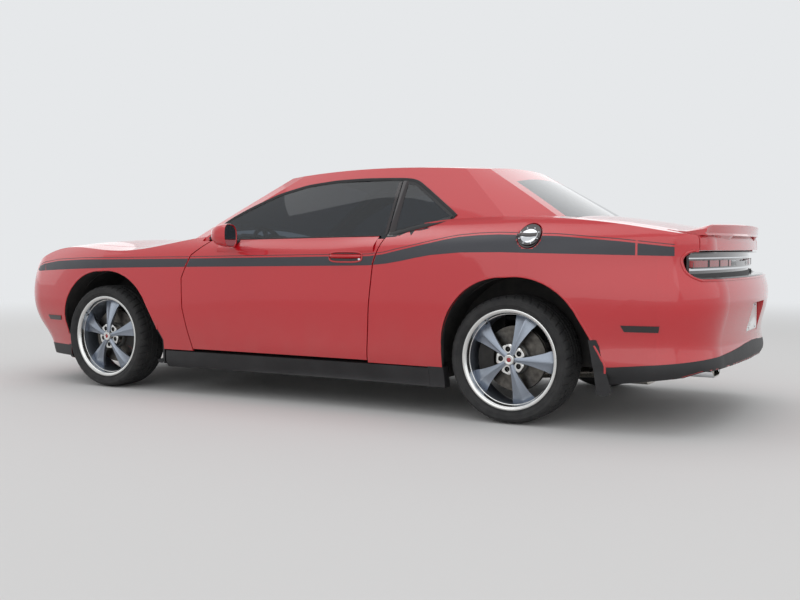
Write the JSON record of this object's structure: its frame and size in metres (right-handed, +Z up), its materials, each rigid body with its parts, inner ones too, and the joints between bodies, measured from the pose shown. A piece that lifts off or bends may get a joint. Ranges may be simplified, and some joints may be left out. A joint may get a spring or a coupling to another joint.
{
  "type": "two-door muscle car",
  "caption": "Full-size two-door coupe on road wheels, with opening doors, hood, deck lid and fuel flap, coupled front steering, a hollow cabin and tinted glass.",
  "frame": {"origin": "on the ground, at the middle of the car's length and width", "axes": "+X forward, +Y to the car's left, +Z up"},
  "size_m": [5.0134, 2.22, 1.4506],
  "materials": {
    "red_paint": "gloss",
    "dark_paint": "satin",
    "dark_glass": "gloss",
    "lamp_glass": "gloss",
    "tail_lens": "gloss",
    "black_plastic": "matte",
    "black_rubber": "matte",
    "tread_rubber": "matte",
    "alloy": "satin",
    "cast_metal": "matte",
    "bright_steel": "satin",
    "chrome_trim": "gloss",
    "seat_leather": "matte"
  },
  "bodies": {
    "body_shell": {"floor_pan": "dark_paint", "sill_covers": "black_plastic", "roof": "red_paint", "quarter_left": "red_paint", "quarter_right": "red_paint", "cowl": "black_plastic", "fender_left": "red_paint", "fender_right": "red_paint", "front_fascia": "red_paint", "chin_spoiler": "black_plastic", "grille": "black_plastic", "headlamps": "lamp_glass", "rear_fascia": "red_paint", "tail_lamps": "tail_lens", "exhaust": "bright_steel", "fixed_glass": "dark_glass", "mud_flaps": "black_rubber", "dashboard": "black_plastic", "seats": "seat_leather", "parcel_shelf": "black_plastic", "engine_block": "cast_metal", "front_subframe": "dark_paint", "rear_axle": "cast_metal", "side_markers": "black_plastic"},
    "door_left": {"door_left": "red_paint", "door_glass_left": "dark_glass", "mirror_left": "red_paint"},
    "door_right": {"door_right": "red_paint", "door_glass_right": "dark_glass", "mirror_right": "red_paint"},
    "hood": {"hood": "red_paint"},
    "decklid": {"decklid": "red_paint", "spoiler": "red_paint"},
    "fuel_flap": {"fuel_flap": "chrome_trim"},
    "steering_wheel": {"steering_wheel": "black_plastic"},
    "knuckle_left": {"knuckle_left": "cast_metal"},
    "knuckle_right": {"knuckle_right": "cast_metal"},
    "wheel_front_left": {"tyre_front_left": "tread_rubber", "rim_front_left": "alloy"},
    "wheel_front_right": {"tyre_front_right": "tread_rubber", "rim_front_right": "alloy"},
    "wheel_rear_left": {"tyre_rear_left": "tread_rubber", "rim_rear_left": "alloy"},
    "wheel_rear_right": {"tyre_rear_right": "tread_rubber", "rim_rear_right": "alloy"}
  },
  "joints": [
    {"name": "door_left_hinge", "type": "hinge", "parent": "body_shell", "child": "door_left", "pos_m": [0.792, 0.928, 0.6], "axis": [0, 0, -1], "range_deg": [0, 65]},
    {"name": "door_right_hinge", "type": "hinge", "parent": "body_shell", "child": "door_right", "pos_m": [0.792, -0.928, 0.6], "axis": [0, 0, 1], "range_deg": [0, 65]},
    {"name": "hood_hinge", "type": "hinge", "parent": "body_shell", "child": "hood", "pos_m": [1.01, 0, 0.978], "axis": [0, -1, 0], "range_deg": [0, 50]},
    {"name": "decklid_hinge", "type": "hinge", "parent": "body_shell", "child": "decklid", "pos_m": [-1.655, 0, 1.105], "axis": [0, 1, 0], "range_deg": [0, 70]},
    {"name": "fuel_flap_hinge", "type": "hinge", "parent": "body_shell", "child": "fuel_flap", "pos_m": [-1.436, 0.9205, 1.004], "axis": [0, 0.53, -0.848], "range_deg": [0, 100]},
    {"name": "steer_left", "type": "hinge", "parent": "body_shell", "child": "knuckle_left", "pos_m": [1.566, 0.748, 0.344], "axis": [0, 0, 1], "range_deg": [-33, 33]},
    {"name": "steer_right", "type": "hinge", "parent": "body_shell", "child": "knuckle_right", "pos_m": [1.566, -0.748, 0.344], "axis": [0, 0, 1], "range_deg": [-33, 33]},
    {"name": "steering_wheel_turn", "type": "hinge", "parent": "body_shell", "child": "steering_wheel", "pos_m": [0.56, 0.38, 0.905], "axis": [-0.9272, 0, 0.3746], "range_deg": [-495, 495]},
    {"name": "wheel_front_left_spin", "type": "hinge", "parent": "knuckle_left", "child": "wheel_front_left", "pos_m": [1.566, 0.802, 0.344], "axis": [0, 1, 0], "continuous": true},
    {"name": "wheel_front_right_spin", "type": "hinge", "parent": "knuckle_right", "child": "wheel_front_right", "pos_m": [1.566, -0.802, 0.344], "axis": [0, 1, 0], "continuous": true},
    {"name": "wheel_rear_left_spin", "type": "hinge", "parent": "body_shell", "child": "wheel_rear_left", "pos_m": [-1.38, 0.802, 0.344], "axis": [0, 1, 0], "continuous": true},
    {"name": "wheel_rear_right_spin", "type": "hinge", "parent": "body_shell", "child": "wheel_rear_right", "pos_m": [-1.38, -0.802, 0.344], "axis": [0, 1, 0], "continuous": true}
  ],
  "couplings": [
    {"joint": "steer_right", "follows": "steer_left", "ratio": 1},
    {"joint": "steering_wheel_turn", "follows": "steer_left", "ratio": 15}
  ]
}
